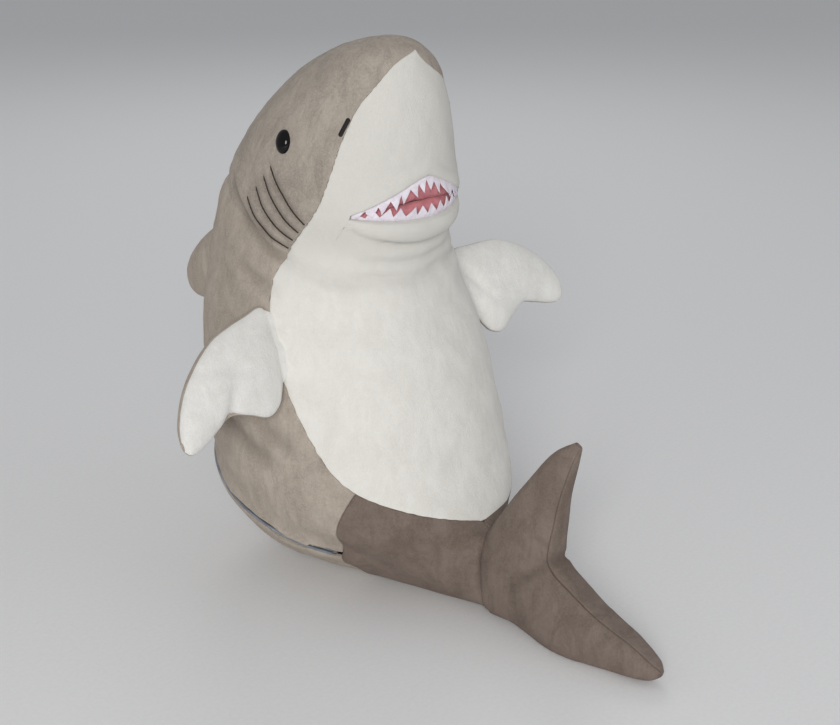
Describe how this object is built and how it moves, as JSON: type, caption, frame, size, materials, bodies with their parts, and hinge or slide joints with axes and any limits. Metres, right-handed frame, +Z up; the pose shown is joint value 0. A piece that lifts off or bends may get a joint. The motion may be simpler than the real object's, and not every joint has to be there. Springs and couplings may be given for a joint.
{
  "type": "plush shark",
  "caption": "Soft stuffed shark that sits upright on its rump, with its tail curled forward, felt teeth, floppy fins and a curved zip round the base.",
  "frame": {"origin": "middle of the object's box at floor level, where the rump and tail rest", "axes": "+Z up, -Y the way the belly and the tail point, +X the shark's own left"},
  "size_m": [0.3816, 0.5021, 0.4],
  "materials": {
    "grey_plush": "short mottled pile",
    "white_plush": "short white pile",
    "dark_plush": "short taupe pile",
    "felt": "stiff pale felt",
    "lining": "pink minky lining",
    "stuffing": "polyester fibre in a plain bag",
    "eye": "glossy black",
    "washer": "moulded",
    "black_thread": "satin stitch",
    "gill_thread": "embroidery thread",
    "zip_tape": "woven tape",
    "zip_coil": "nylon coil",
    "zip_metal": "painted grey"
  },
  "bodies": {
    "body": {"side_panel_right": "grey_plush", "side_panel_left": "grey_plush", "belly_panel": "white_plush", "base_panel": "grey_plush", "tail_panel_right": "dark_plush", "tail_panel_left": "dark_plush", "body_pod": "stuffing", "tail_stuffing": "stuffing", "zip_tape_upper": "zip_tape", "zip_tape_lower": "zip_tape", "zip_coil_upper": "zip_coil", "zip_coil_lower": "zip_coil", "zip_end_stops": "zip_metal"},
    "zip_slider": {"zip_slider": "zip_metal"},
    "zip_pull": {"zip_pull": "zip_metal"},
    "head": {"head_panel_right": "grey_plush", "head_panel_left": "grey_plush", "face_panel": "white_plush", "head_pod": "stuffing", "eye_right": "eye", "eye_left": "eye", "eye_washers": "washer", "nostril_right": "black_thread", "nostril_left": "black_thread", "gill_stitches_right": "gill_thread", "gill_stitches_left": "gill_thread", "upper_teeth": "felt", "upper_mouth_lining": "lining"},
    "jaw": {"chin_panel": "white_plush", "jaw_stuffing": "stuffing", "lower_teeth": "felt", "lower_mouth_lining": "lining"},
    "fin_right": {"fin_right_under_panel": "white_plush", "fin_right_top_panel": "grey_plush", "fin_right_stuffing": "stuffing"},
    "fin_left": {"fin_left_under_panel": "white_plush", "fin_left_top_panel": "grey_plush", "fin_left_stuffing": "stuffing"},
    "dorsal_fin": {"dorsal_panel_right": "grey_plush", "dorsal_panel_left": "grey_plush", "dorsal_stuffing": "stuffing"},
    "tail_fin": {"tail_fin_panel_right": "dark_plush", "tail_fin_panel_left": "dark_plush", "tail_fin_stuffing": "stuffing"}
  },
  "joints": [
    {"name": "neck_nod", "type": "hinge", "parent": "body", "child": "head", "pos_m": [0, 0.05741, 0.27065], "axis": [1, 0, 0], "range_deg": [-8, 8], "stiffness_Nm_per_rad": 2},
    {"name": "jaw_open", "type": "hinge", "parent": "head", "child": "jaw", "pos_m": [0, -0.00726, 0.28706], "axis": [1, 0, 0], "range_deg": [0, 12], "stiffness_Nm_per_rad": 0.06},
    {"name": "fin_right_flap", "type": "hinge", "parent": "body", "child": "fin_right", "pos_m": [-0.09699, 0.02395, 0.19517], "axis": [-0.1019, -0.4584, -0.8829], "range_deg": [-25, 25], "stiffness_Nm_per_rad": 0.1},
    {"name": "fin_left_flap", "type": "hinge", "parent": "body", "child": "fin_left", "pos_m": [0.09699, 0.02354, 0.19539], "axis": [-0.1019, 0.4584, 0.8829], "range_deg": [-25, 25], "stiffness_Nm_per_rad": 0.1},
    {"name": "dorsal_fin_flop", "type": "hinge", "parent": "body", "child": "dorsal_fin", "pos_m": [0, 0.16238, 0.21111], "axis": [0, 0.0543, -0.9985], "range_deg": [-35, 35], "stiffness_Nm_per_rad": 0.15},
    {"name": "tail_fin_wag", "type": "hinge", "parent": "body", "child": "tail_fin", "pos_m": [0, -0.10279, 0.03184], "axis": [0, -0.0254, 0.9997], "range_deg": [-20, 20], "stiffness_Nm_per_rad": 0.3},
    {"name": "zip_slider_travel", "type": "hinge", "parent": "body", "child": "zip_slider", "pos_m": [0, 0.05244, 0.06667], "axis": [0, -0.342, 0.9397], "range_deg": [0, 254]},
    {"name": "zip_pull_swing", "type": "hinge", "parent": "zip_slider", "child": "zip_pull", "pos_m": [0.08805, -0.00991, 0.04397], "axis": [0, -0.342, 0.9397], "range_deg": [-165, 0]}
  ]
}
